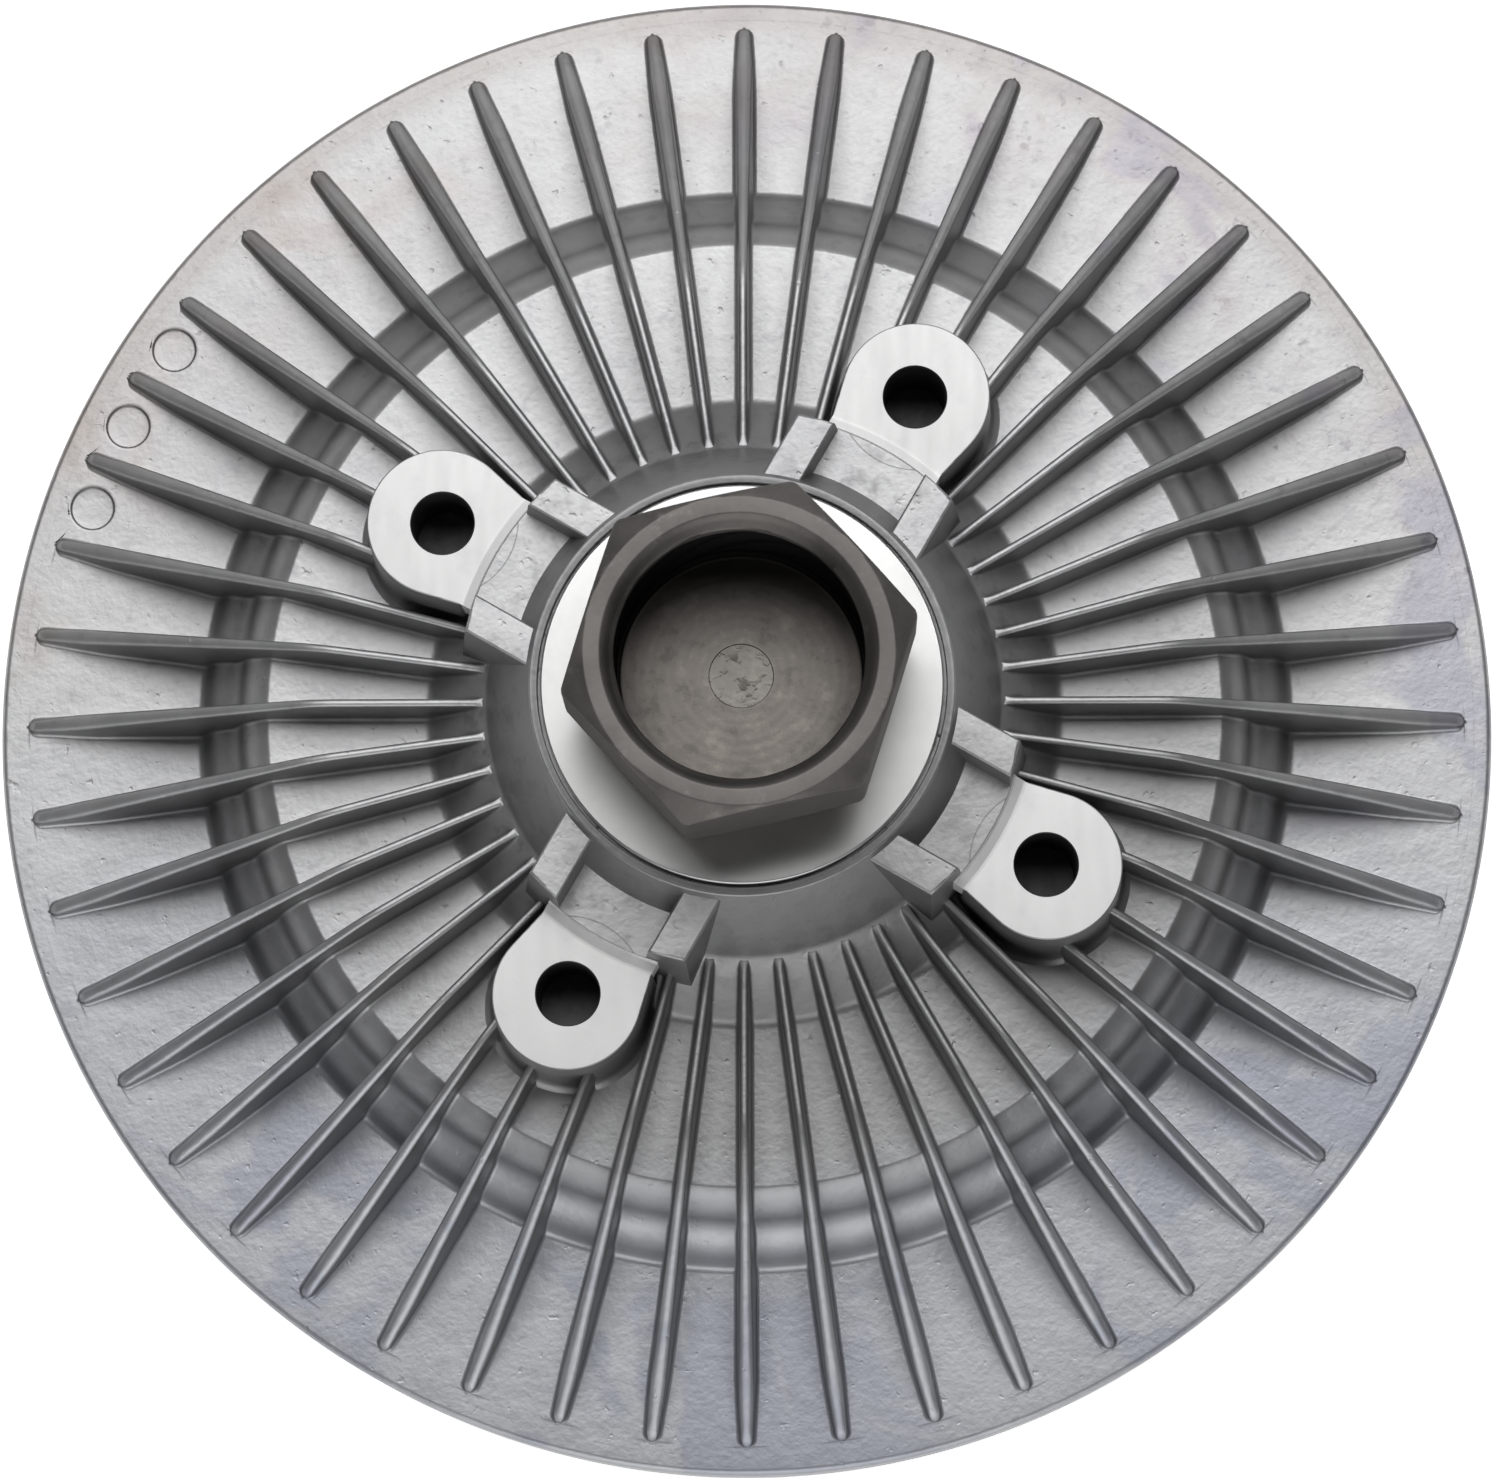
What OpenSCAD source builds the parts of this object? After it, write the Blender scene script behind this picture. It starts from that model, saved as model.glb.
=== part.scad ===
// Viscous fan clutch: finned rear housing with a four-lug fan mount, nut-driven shaft and coil-worked valve.
// Millimetres throughout. Z is the turning axis, the engine side points up, and the part rests on its front fins.

/* [Rear housing] */
// Outside diameter of the rolled rim
rim_d = 181.6; // [180.6:0.2:183]
// Height of the rear flange face above the resting plane
flange_z = 26; // [25.5:0.1:27]
// Thickness of the rear flange
flange_t = 4; // [3.8:0.1:4.4]
// Radius where the two-step ramp leaves the flange
ramp_foot_r = 66.2; // [65.6:0.1:67]
// Radius of the crease half way up the ramp
ramp_mid_r = 61.5; // [61.3:0.1:61.8]
// Height of the crease above the flange
ramp_mid_h = 5.2; // [4.8:0.1:5.6]
// Radius where the ramp meets the plateau
ramp_top_r = 57.6; // [57.2:0.1:58]
// Height of the plateau above the flange
plateau_h = 10.8; // [10.6:0.1:11.4]
// Softness of the ramp shoulders
ramp_soft = 1.2; // [0.8:0.1:1.6]
// How far each of the two rolls of the ramp bulges
ramp_roll = 0.5; // [0.2:0.1:0.6]

/* [Rear fins] */
// Number of rear fins
fin_count = 48; // [36:12:48]
// Radius of the fin tips
fin_tip_r = 87.5; // [86.5:0.1:88]
// Radius of the kink in the fin crests
fin_kink_r = 51.5; // [50.5:0.1:52.5]
// Height of the flat fin crest above the flange
fin_crest_h = 17.6; // [17.2:0.1:18]
// Height of the fin crest at its tip
fin_tip_h = 0.8; // [0.6:0.1:1.2]
// Width of a fin at the flange
fin_root_w = 2.3; // [2.1:0.1:2.6]
// Width of a fin at its flat crest
fin_crest_w = 1.0; // [0.9:0.1:1.3]
// Width of a fin at its rounded tip
fin_tip_w = 1.5; // [1.2:0.1:2]
// Length over which a fin narrows to its tip
fin_taper = 10; // [6:0.5:14]

/* [Hub and fan lugs] */
// Height of the hub end above the flange
hub_h = 30.2; // [30:0.1:30.8]
// Radius of the hub end
hub_end_r = 24.9; // [24.7:0.1:25.4]
// Radius of the hub where the fins run into it
hub_waist_r = 30.6; // [30.2:0.1:31]
// Pitch circle diameter of the fan bolts
lug_pcd = 82; // [81:0.1:83]
// Number of fan lugs
lug_count = 4; // [4:1:4]
// Turn of the first lug from the X axis
lug_turn = 60; // [60:7.5:60]
// Diameter of the tapped fan holes
lug_hole_d = 7.4; // [6.8:0.1:7.8]
// Radius of the rounded lug ends
lug_end_r = 8.8; // [8.6:0.1:9]
// Angle at which the lug sides narrow towards the hub
lug_taper = 13; // [9:1:14]
// Height of the machined lug faces above the flange
lug_face_h = 23.7; // [23.5:0.1:24]
// Height of the cast web above the lug faces
lug_web_h = 0.9; // [0.7:0.1:1.2]
// Diameter of the fan pilot on the rib ends
pilot_d = 66.2; // [66:0.1:66.8]
// Half the distance between the two ribs of a lug
rib_off = 8.3; // [8.2:0.1:8.5]
// Width of a rib top
rib_w = 4.4; // [4.2:0.1:4.8]
// Height of the rib tops above the flange
rib_h = 29.2; // [28.8:0.1:29.6]

/* [Drive shaft] */
// Width across the flats of the drive hexagon
hex_af = 36; // [35.6:0.1:36.4]
// Turn of the hexagon from the X axis
hex_turn = 12.5; // [0:2.5:30]
// Height of the shaft end above the flange
hex_top_h = 53.4; // [53:0.1:54]
// Length of the hexagon
hex_len = 14.4; // [14:0.1:14.8]
// Core diameter of the pump thread
thread_core_d = 28.4; // [28.2:0.1:28.6]
// Depth of the threaded socket
socket_depth = 17.6; // [17.2:0.1:18]
// Diameter of the round mark in the socket floor
mark_d = 7.4; // [6:0.1:8]
// Diameter of the round neck below the hexagon
neck_d = 33.4; // [33:0.1:34]
// Diameter of the dust shield
shield_d = 47.2; // [46.8:0.1:47.4]
// Thickness of the dust shield
shield_t = 1.3; // [1.2:0.1:1.5]

/* [Bearing] */
// Bearing bore
bearing_id = 20; // [19.8:0.1:20.2]
// Bearing outside diameter
bearing_od = 42; // [41.8:0.1:42.2]
// Bearing width
bearing_w = 16.8; // [16.6:0.1:17]
// Ball diameter
ball_d = 5.6; // [5.4:0.1:5.6]
// Balls in each row
ball_count = 11; // [9:1:11]
// Distance between the two rows
row_gap = 8.2; // [8.2:0.1:8.4]

/* [Chamber and rotor] */
// Wall thickness under the plateau
wall_t = 4; // [3.8:0.1:4.2]
// Diameter of the rotor
rotor_d = 117.6; // [116.6:0.1:117.8]
// Thickness of the rotor web
rotor_t = 4; // [3.8:0.1:4.2]
// Width of one annular land
land_w = 1.6; // [1.4:0.1:1.8]
// Pitch of the annular lands
land_pitch = 4.4; // [4.3:0.05:4.4]
// Number of rotor lands
land_count = 7; // [5:1:7]
// Gap left between the working faces
work_gap = 0.6; // [0.5:0.05:0.7]

/* [Front cover and valve] */
// Thickness of the front cover flange
cover_t = 5; // [4.8:0.1:5.2]
// Depth of the fluid reservoir
reservoir_depth = 6; // [5.8:0.1:6.2]
// Radius of the fluid reservoir
reservoir_r = 41; // [40:0.5:41.5]
// Number of front fins
front_fin_count = 36; // [24:12:36]
// Thickness of the pump plate
plate_t = 1.2; // [1:0.1:1.4]
// Diameter of the pump plate
plate_d = 104; // [103:0.5:105]
// Diameter of the valve shaft
valve_d = 6; // [5.8:0.1:6.2]
// Thickness of the coil strip
coil_t = 0.9; // [0.8:0.05:1]
// Width of the coil strip
coil_w = 6.6; // [6:0.1:6.8]
// Number of half turns of the coil
coil_halves = 9; // [7:2:9]
// Radial growth of the coil in one half turn
coil_step = 1.25; // [1.15:0.05:1.3]

/* [Clearances] */
// Radial clearance of the shaft in its bush and seal
run_clear = 0.03; // [0.02:0.01:0.06]
// Clearance between balls, races and cages
ball_clear = 0.1; // [0.08:0.01:0.12]
// Clearance of parts that only lie beside each other
loose_clear = 0.3; // [0.2:0.05:0.4]
// Clearance of the coil ends in their slots
slot_clear = 0.05; // [0.03:0.01:0.1]

/* [Hidden] */
$fn = 96;
rim_r = rim_d / 2;
rim_edge = 0.8;
plateau_z = flange_z + plateau_h;
crest_z = flange_z + fin_crest_h;
lug_face_z = flange_z + lug_face_h;
web_z = lug_face_z + lug_web_h;
rib_z = flange_z + rib_h;
hub_z = flange_z + hub_h;
hex_top_z = flange_z + hex_top_h;
hex_low_z = hex_top_z - hex_len;
socket_z = hex_top_z - socket_depth;
mark_depth = 0.15;
seat_z = flange_z - flange_t;
ceiling_z = plateau_z - wall_t;
cover_low_z = seat_z - cover_t;
lip_t = 2.5;
lip_z = cover_low_z - lip_t;
cover_r = rim_r - 3.1;
skirt_r = cover_r + loose_clear;
lip_r = cover_r - 2.5;
waist_z = crest_z + 0.4;
base_r = hub_waist_r + waist_z - plateau_z;
lug_r = lug_pcd / 2;
pilot_r = pilot_d / 2;
hole_r = lug_hole_d / 2;
stamp_count = 3;
stamp_first = 19.5;
stamp_r = fin_tip_r - 2.9;
stamp_d = 5.3;
stamp_depth = 0.3;

shield_r = shield_d / 2;
shield_top_z = hub_z + 0.5;
shield_z = shield_top_z - shield_t;
pocket_r = shield_r + loose_clear;
pocket_z = shield_z - 0.5;
bearing_top_z = pocket_z - 1.7;
bearing_z = bearing_top_z - bearing_w;
bearing_mid_z = bearing_z + bearing_w / 2;
race_in_r = bearing_id / 2;
race_out_r = bearing_od / 2;
ball_r = ball_d / 2;
groove_r = ball_r + ball_clear;
pitch_r = (race_in_r + race_out_r) / 2;
inner_lip_r = pitch_r - 2.1;
outer_lip_r = pitch_r + 2.1;
seal_t = 0.8;
seal_set = 0.3;
clip_t = 1.2;
clip_z = bearing_z - clip_t;
clip_groove_r = race_out_r + 1.2;
cage_t = 1.2;
cage_base = 0.8;
cage_prong = 1.2;

rotor_r = rotor_d / 2;
rotor_low_z = seat_z + plate_t + 0.8;
rotor_top_z = rotor_low_z + rotor_t;
land_top_z = ceiling_z - work_gap;
land_low_z = rotor_top_z + work_gap;
land_r0 = 26;
chamber_r = land_r0 + (land_count - 1) * land_pitch + land_w / 2 + 1.3;
rim_chamber_r = rotor_r + work_gap + 0.1;
rotor_bore_r = 8.5;
rotor_hub_r = inner_lip_r - 0.2;
rivet_r = 47;
rivet_count = 6;
rivet_d = 3;
rivet_head_r = 2.6;
rivet_head_h = 0.9;
rivet_len = 4;
rivet_groove = rivet_head_r + 1;
wiper_clear = 0.2;
rim_step_r = plate_d / 2 + 1.2;
rim_step_h = 2.4;
wiper_in_r = rim_step_r + wiper_clear;
wiper_out_r = rotor_r - 0.6;
wiper_h = rotor_low_z + rim_step_h - seat_z - 0.8;

cover_wall = 4;
floor_z = seat_z - reservoir_depth;
cover_face_z = floor_z - cover_wall;
front_fin_w = 2.4;
front_fin_in_r = 25.5;
front_fin_tip_r = 83;
front_kink_r = 58;
valve_r = valve_d / 2;
bush_r = valve_r + 1.5;
arm_t = 1;
arm_z = seat_z - 0.4 - arm_t;
arm_r = reservoir_r - 3.5;
arm_w = 9;
arm_boss_r = 7;
port_r = 33;
port_hole_r = 2;
boss_r = 8;
boss_top_z = arm_z - 0.4;
boss_low_z = cover_face_z - 3;
bush_top_z = boss_top_z;
bush_low_z = boss_low_z + 3.4;
valve_seal_z = boss_low_z + 1.2;
coil_z = 1.6;
coil_r0 = 5.2;
coil_end_r = coil_r0 + (coil_halves - 1) * coil_step;
coil_side = coil_step / 2;
post_gap = 3;
post_x = -(coil_end_r + coil_side + coil_t / 2 + post_gap);
spigot_r = 2;
o_seal_r = 73.6;
o_seal_w = 2;
o_seal_h = 2;

// Plain ring with square edges
module ring(r_out, r_in, z, h) {
    translate([0, 0, z])
        difference() {
            cylinder(r = r_out, h = h);
            translate([0, 0, -1])
                cylinder(r = r_in, h = h + 2);
        }
}

// Points of a shallow convex roll from a to b that bulges by h
function roll(a, b, h) = [
    for (t = [0 : 0.25 : 1])
        a + t * (b - a) + 4 * h * t * (1 - t) * [b[1] - a[1], a[0] - b[0]] / norm(b - a)
];

// Turned section of the rear housing, from the rolled lip round to the chamber
module rear_profile() {
    foot = [ramp_foot_r - 0.5 * ramp_soft, flange_z + 0.9 * ramp_soft];
    ledge = [ramp_mid_r + 0.4 * ramp_soft, flange_z + ramp_mid_h - 0.2 * ramp_soft];
    rise = [ramp_mid_r - 0.3 * ramp_soft, flange_z + ramp_mid_h + 0.7 * ramp_soft];
    shoulder = [ramp_top_r + 0.2 * ramp_soft, plateau_z - 0.25 * ramp_soft];
    polygon(concat([
        [lip_r, lip_z],
        [rim_r - 1.6, lip_z],
        [rim_r - 0.4, lip_z + 0.5],
        [rim_r, lip_z + 1.6],
        [rim_r, flange_z - 1.2],
        [rim_r - 0.25, flange_z - 0.45],
        [rim_r - rim_edge, flange_z],
        [ramp_foot_r + ramp_soft, flange_z],
        [ramp_foot_r, flange_z + 0.25 * ramp_soft]
    ], roll(foot, ledge, ramp_roll), roll(rise, shoulder, ramp_roll), [
        [ramp_top_r - 0.6 * ramp_soft, plateau_z],
        [base_r + 1, plateau_z],
        [base_r - 0.4, plateau_z + 0.6],
        [hub_waist_r, waist_z],
        [hub_end_r, hub_z - 0.5],
        [hub_end_r - 0.4, hub_z],
        [pocket_r, hub_z],
        [pocket_r, pocket_z],
        [outer_lip_r + 1.4, pocket_z],
        [outer_lip_r + 1.4, bearing_top_z],
        [race_out_r, bearing_top_z],
        [race_out_r, bearing_z],
        [clip_groove_r, bearing_z],
        [clip_groove_r, clip_z],
        [race_out_r, clip_z],
        [race_out_r, ceiling_z],
        [chamber_r, ceiling_z],
        [chamber_r, land_low_z],
        [rim_chamber_r, land_low_z],
        [rim_chamber_r, seat_z],
        [skirt_r, seat_z],
        [skirt_r, cover_low_z],
        [lip_r, cover_low_z]
    ]));
}

// One drafted fin with a sloping crest, narrowed in plan to a rounded tip
module rear_fin() {
    draft = (fin_root_w - fin_crest_w) / 2 / fin_crest_h;
    low_w = fin_root_w / 2 + draft * 2.4;
    nose_x = fin_tip_r - fin_tip_w / 2 + 0.02;
    intersection() {
        rotate([90, 0, 0])
            linear_extrude(height = 6, center = true)
                polygon([
                    [fin_tip_r, flange_z - 1],
                    [fin_tip_r, flange_z + fin_tip_h],
                    [fin_kink_r, crest_z],
                    [hub_waist_r - 1.2, crest_z],
                    [hub_waist_r - 1.2, plateau_z - 1.5],
                    [ramp_top_r - 1, plateau_z - 1.5],
                    [ramp_mid_r - 0.8, flange_z + ramp_mid_h - 1.9],
                    [ramp_foot_r - 0.6, flange_z - 1]
                ]);
        translate([0, 0, flange_z - 2])
            rotate([90, 0, 90])
                linear_extrude(height = rim_r)
                    polygon([
                        [-fin_root_w / 2 - draft * 2, 0],
                        [fin_root_w / 2 + draft * 2, 0],
                        [fin_crest_w / 2, fin_crest_h + 2],
                        [-fin_crest_w / 2, fin_crest_h + 2]
                    ]);
        translate([0, 0, flange_z - 2])
            linear_extrude(height = fin_crest_h + 4) {
                translate([nose_x, 0])
                    circle(d = fin_tip_w);
                polygon([
                    [0, -low_w],
                    [fin_tip_r - fin_taper, -low_w],
                    [nose_x, -fin_tip_w / 2],
                    [nose_x, fin_tip_w / 2],
                    [fin_tip_r - fin_taper, low_w],
                    [0, low_w]
                ]);
            }
    }
}

// One rib beside a fan lug, drafted, with its end on the pilot circle
module lug_rib(side) {
    foot = rib_w / 2 + 1;
    intersection() {
        translate([hub_end_r - 3.5, side * rib_off, plateau_z - 1.3])
            rotate([90, 0, 90])
                linear_extrude(height = 14)
                    polygon([
                        [-foot, 0],
                        [foot, 0],
                        [rib_w / 2, rib_z - plateau_z + 1.3],
                        [-rib_w / 2, rib_z - plateau_z + 1.3]
                    ]);
        cylinder(r = pilot_r, h = rib_z + 10);
    }
}

// One fan lug: machined face with sides tangent to its round end, cast web turned to the pilot, two ribs
module fan_lug() {
    end_x = lug_r + 0.2;
    side_x = end_x - lug_end_r * sin(lug_taper);
    side_y = lug_end_r * cos(lug_taper);
    web_w = side_y - (side_x - pilot_r - 1.6) * tan(lug_taper) - 0.2;
    translate([0, 0, plateau_z - 1.7])
        linear_extrude(height = lug_face_z - plateau_z + 1.7) {
            translate([end_x, 0])
                circle(r = lug_end_r);
            polygon([
                [end_x, 0],
                [side_x, side_y],
                [pilot_r, side_y - (side_x - pilot_r) * tan(lug_taper)],
                [hub_end_r - 1, 0],
                [pilot_r, (side_x - pilot_r) * tan(lug_taper) - side_y],
                [side_x, -side_y]
            ]);
        }
    intersection() {
        translate([hub_end_r - 1.2, -web_w, plateau_z - 1.1])
            cube([lug_r - hub_end_r, 2 * web_w, web_z - plateau_z + 1.1]);
        rotate_extrude()
            polygon([
                [0, plateau_z - 2],
                [pilot_r + 2, plateau_z - 2],
                [pilot_r + 2, lug_face_z - lug_web_h / 3],
                [pilot_r, lug_face_z + lug_web_h * 4 / 3],
                [0, lug_face_z + lug_web_h * 4 / 3]
            ]);
    }
    lug_rib(1);
    lug_rib(-1);
}

module rear_housing() {
    color("silver")
        difference() {
            union() {
                rotate_extrude()
                    rear_profile();
                for (i = [0 : fin_count - 1])
                    rotate([0, 0, i * 360 / fin_count])
                        rear_fin();
                for (i = [0 : lug_count - 1])
                    rotate([0, 0, lug_turn + i * 360 / lug_count])
                        fan_lug();
                for (i = [0 : land_count - 2])
                    ring(land_r0 + (i + 0.5) * land_pitch + land_w / 2,
                        land_r0 + (i + 0.5) * land_pitch - land_w / 2,
                        land_low_z, ceiling_z - land_low_z + 0.5);
            }
            for (i = [0 : lug_count - 1])
                rotate([0, 0, lug_turn + i * 360 / lug_count])
                    translate([lug_r, 0, plateau_z + 0.6])
                        cylinder(r = hole_r, h = 40);
            for (i = [0 : stamp_count - 1])
                rotate([0, 0, (stamp_first + i) * 360 / fin_count])
                    translate([stamp_r, 0, flange_z - stamp_depth])
                        cylinder(d = stamp_d, h = 2);
        }
}

// Turned section of the front cover, from the rim to the valve boss
module cover_profile() {
    polygon([
        [bush_r, valve_seal_z],
        [valve_r + loose_clear, valve_seal_z],
        [valve_r + loose_clear, boss_low_z],
        [boss_r - 1, boss_low_z],
        [boss_r, boss_low_z + 1],
        [boss_r, cover_face_z],
        [front_kink_r, cover_face_z],
        [front_kink_r + 2, cover_face_z + 0.6],
        [front_kink_r + 6, cover_low_z - 0.6],
        [front_kink_r + 8, cover_low_z],
        [cover_r - 0.6, cover_low_z],
        [cover_r, cover_low_z + 0.6],
        [cover_r, seat_z],
        [o_seal_r + o_seal_w / 2 + 0.15, seat_z],
        [o_seal_r + o_seal_w / 2 + 0.15, seat_z - o_seal_h],
        [o_seal_r - o_seal_w / 2 - 0.15, seat_z - o_seal_h],
        [o_seal_r - o_seal_w / 2 - 0.15, seat_z],
        [reservoir_r, seat_z],
        [reservoir_r, floor_z + 1.2],
        [reservoir_r - 1.2, floor_z],
        [boss_r, floor_z],
        [boss_r, boss_top_z],
        [bush_r, boss_top_z]
    ]);
}

// One front fin, flat where the part rests and sloping up to the rim
module front_fin() {
    slope = (cover_low_z - 3) / (front_fin_tip_r - front_kink_r);
    intersection() {
        rotate([90, 0, 0])
            linear_extrude(height = 6, center = true)
                polygon([
                    [front_fin_in_r, cover_face_z + 1],
                    [front_fin_in_r, 1.2],
                    [front_fin_in_r + 1.2, 0],
                    [front_kink_r, 0],
                    [front_fin_tip_r, slope * (front_fin_tip_r - front_kink_r)],
                    [front_fin_tip_r, cover_low_z + 1],
                    [front_kink_r + 7.6, cover_low_z + 1],
                    [front_kink_r + 2, cover_face_z + 1.6]
                ]);
        translate([0, 0, 0])
            rotate([90, 0, 90])
                linear_extrude(height = rim_r)
                    polygon([
                        [-front_fin_w / 2, -0.01],
                        [front_fin_w / 2, -0.01],
                        [front_fin_w / 2 + 0.6, cover_low_z + 2],
                        [-front_fin_w / 2 - 0.6, cover_low_z + 2]
                    ]);
    }
}

module front_cover() {
    slot = coil_t + 2 * slot_clear;
    color("gainsboro")
        difference() {
            union() {
                rotate_extrude()
                    cover_profile();
                for (i = [0 : front_fin_count - 1])
                    rotate([0, 0, i * 360 / front_fin_count])
                        front_fin();
                translate([post_x - 1.6, -3.2, coil_z])
                    cube([3.2, 6.4, cover_face_z + 1 - coil_z]);
            }
            translate([post_x - 4, -slot / 2, coil_z - 1])
                cube([8, slot, coil_w + 1 + loose_clear]);
            for (i = [0 : rivet_count - 1])
                rotate([0, 0, 30 + i * 360 / rivet_count])
                    translate([rivet_r, 0, seat_z - rivet_len])
                        cylinder(d = rivet_d, h = rivet_len + 1);
            rotate([0, 0, 8])
                translate([reservoir_r - 2, -1.5, seat_z - 2.5])
                    cube([wiper_in_r - reservoir_r + 4, 3, 4]);
        }
}

module cover_seal() {
    color("dimgray")
        ring(o_seal_r + o_seal_w / 2, o_seal_r - o_seal_w / 2, seat_z - o_seal_h, o_seal_h);
}

module pump_plate() {
    color("lightsteelblue")
        difference() {
            translate([0, 0, seat_z])
                cylinder(d = plate_d, h = plate_t);
            for (i = [0 : rivet_count - 1])
                rotate([0, 0, 30 + i * 360 / rivet_count])
                    translate([rivet_r, 0, seat_z - 1])
                        cylinder(d = rivet_d, h = plate_t + 2);
            for (a = [0, 180])
                rotate([0, 0, a + 90])
                    translate([port_r, 0, seat_z - 1])
                        cylinder(r = port_hole_r, h = plate_t + 2);
        }
}

module plate_rivets() {
    color("darkgray")
        for (i = [0 : rivet_count - 1])
            rotate([0, 0, 30 + i * 360 / rivet_count])
                translate([rivet_r, 0, 0]) {
                    translate([0, 0, seat_z - rivet_len])
                        cylinder(d = rivet_d, h = rivet_len + plate_t);
                    translate([0, 0, seat_z + plate_t])
                        cylinder(r = rivet_head_r, h = rivet_head_h);
                }
}

module wiper_block() {
    color("ivory")
        rotate([0, 0, 20])
            rotate_extrude(angle = 14)
                translate([wiper_in_r, seat_z])
                    square([wiper_out_r - wiper_in_r, wiper_h]);
}

// Both ball grooves of a race
module grooves() {
    for (s = [-1, 1])
        translate([0, 0, bearing_mid_z + s * row_gap / 2])
            rotate_extrude()
                translate([pitch_r, 0])
                    circle(r = groove_r);
}

module bearing_outer_race() {
    color("lightgray")
        difference() {
            ring(race_out_r, outer_lip_r, bearing_z, bearing_w);
            grooves();
        }
}

module bearing_inner_race() {
    color("lightgray")
        difference() {
            ring(inner_lip_r, race_in_r, bearing_z, bearing_w);
            grooves();
        }
}

module bearing_balls() {
    color("white")
        for (s = [-1, 1])
            for (i = [0 : ball_count - 1])
                rotate([0, 0, i * 360 / ball_count])
                    translate([pitch_r, 0, bearing_mid_z + s * row_gap / 2])
                        sphere(r = ball_r);
}

// One crown cage, its back towards the middle of the bearing
module crown_cage(s) {
    row_z = bearing_mid_z + s * row_gap / 2;
    near = groove_r + cage_base;
    low = s > 0 ? row_z - near : row_z - cage_prong;
    difference() {
        ring(pitch_r + cage_t / 2, pitch_r - cage_t / 2, low, near + cage_prong);
        for (i = [0 : ball_count - 1])
            rotate([0, 0, i * 360 / ball_count])
                translate([pitch_r, 0, row_z])
                    sphere(r = groove_r);
    }
}

module bearing_cage_rear() {
    color("goldenrod")
        crown_cage(1);
}

module bearing_cage_front() {
    color("goldenrod")
        crown_cage(-1);
}

module bearing_seal_rear() {
    color("saddlebrown")
        ring(outer_lip_r, inner_lip_r + ball_clear, bearing_top_z - seal_set - seal_t, seal_t);
}

module bearing_seal_front() {
    color("saddlebrown")
        ring(outer_lip_r, inner_lip_r + ball_clear, bearing_z + seal_set, seal_t);
}

module bearing_clip() {
    color("slategray")
        difference() {
            ring(clip_groove_r - 0.2, race_out_r - 2, clip_z + 0.05, clip_t - 0.05);
            translate([0, -3, clip_z - 1])
                cube([clip_groove_r + 2, 6, clip_t + 2]);
        }
}

module drive_shaft() {
    thread_r = thread_core_d / 2;
    color("dimgray")
        difference() {
            union() {
                intersection() {
                    translate([0, 0, hex_low_z])
                        rotate([0, 0, hex_turn])
                            cylinder(d = hex_af / cos(30), h = hex_len, $fn = 6);
                    rotate_extrude()
                        polygon([
                            [0, hex_low_z - 1],
                            [hex_af / 2, hex_low_z - 1],
                            [hex_af / 2, hex_low_z],
                            [hex_af / 2 + 4, hex_low_z + 2.3],
                            [hex_af / 2 + 4, hex_top_z - 2.5],
                            [hex_af / 2 - 0.3, hex_top_z],
                            [0, hex_top_z]
                        ]);
                }
                translate([0, 0, shield_top_z])
                    cylinder(d = neck_d, h = hex_low_z - shield_top_z + 0.5);
                translate([0, 0, bearing_top_z])
                    cylinder(r = inner_lip_r, h = shield_top_z - bearing_top_z + 0.5);
                translate([0, 0, bearing_z])
                    cylinder(r = race_in_r, h = bearing_w + 0.5);
                translate([0, 0, rotor_low_z])
                    cylinder(r = rotor_bore_r, h = bearing_z - rotor_low_z + 0.5);
            }
            translate([0, 0, socket_z])
                cylinder(r = thread_r, h = socket_depth + 1);
            translate([0, 0, hex_top_z - 1.5])
                cylinder(r1 = thread_r, r2 = thread_r + 1.5, h = 1.5);
            translate([0, 0, socket_z - mark_depth])
                cylinder(d = mark_d, h = mark_depth + 1);
            ring(rotor_bore_r + 1, rotor_bore_r - 0.8, rotor_low_z + 0.6, 1.1);
        }
}

module dust_shield() {
    color("whitesmoke")
        rotate_extrude()
            polygon([
                [inner_lip_r, shield_z],
                [shield_r - 0.5, shield_z],
                [shield_r, shield_z + 0.3],
                [shield_r, shield_top_z - 0.35],
                [shield_r - 0.35, shield_top_z],
                [inner_lip_r, shield_top_z]
            ]);
}

module clutch_rotor() {
    color("lightgray")
        difference() {
            union() {
                rotate_extrude()
                    polygon([
                        [rotor_bore_r, rotor_low_z + 1.7],
                        [rotor_hub_r, rotor_low_z + 1.7],
                        [rotor_hub_r, rotor_low_z],
                        [rivet_r - rivet_groove, rotor_low_z],
                        [rivet_r - rivet_groove, rotor_low_z + 1],
                        [rivet_r + rivet_groove, rotor_low_z + 1],
                        [rivet_r + rivet_groove, rotor_low_z],
                        [rim_step_r, rotor_low_z],
                        [rim_step_r, rotor_low_z + rim_step_h],
                        [rotor_r, rotor_low_z + rim_step_h],
                        [rotor_r, rotor_top_z],
                        [rotor_hub_r + 3, rotor_top_z],
                        [rotor_hub_r, rotor_top_z + 3],
                        [rotor_hub_r, bearing_z],
                        [rotor_bore_r, bearing_z]
                    ]);
                for (i = [0 : land_count - 1])
                    ring(land_r0 + i * land_pitch + land_w / 2, land_r0 + i * land_pitch - land_w / 2,
                        rotor_top_z - 0.5, land_top_z - rotor_top_z + 0.5);
            }
            for (i = [0 : 3])
                rotate([0, 0, i * 90])
                    translate([19.5, 0, rotor_low_z - 1])
                        cylinder(r = 2.5, h = 10);
        }
}

module rotor_clip() {
    color("slategray")
        difference() {
            ring(rotor_bore_r + 2, rotor_bore_r - 0.8, rotor_low_z + 0.65, 1);
            translate([0, -3.4, rotor_low_z])
                cube([20, 6.8, 4]);
        }
}

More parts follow.
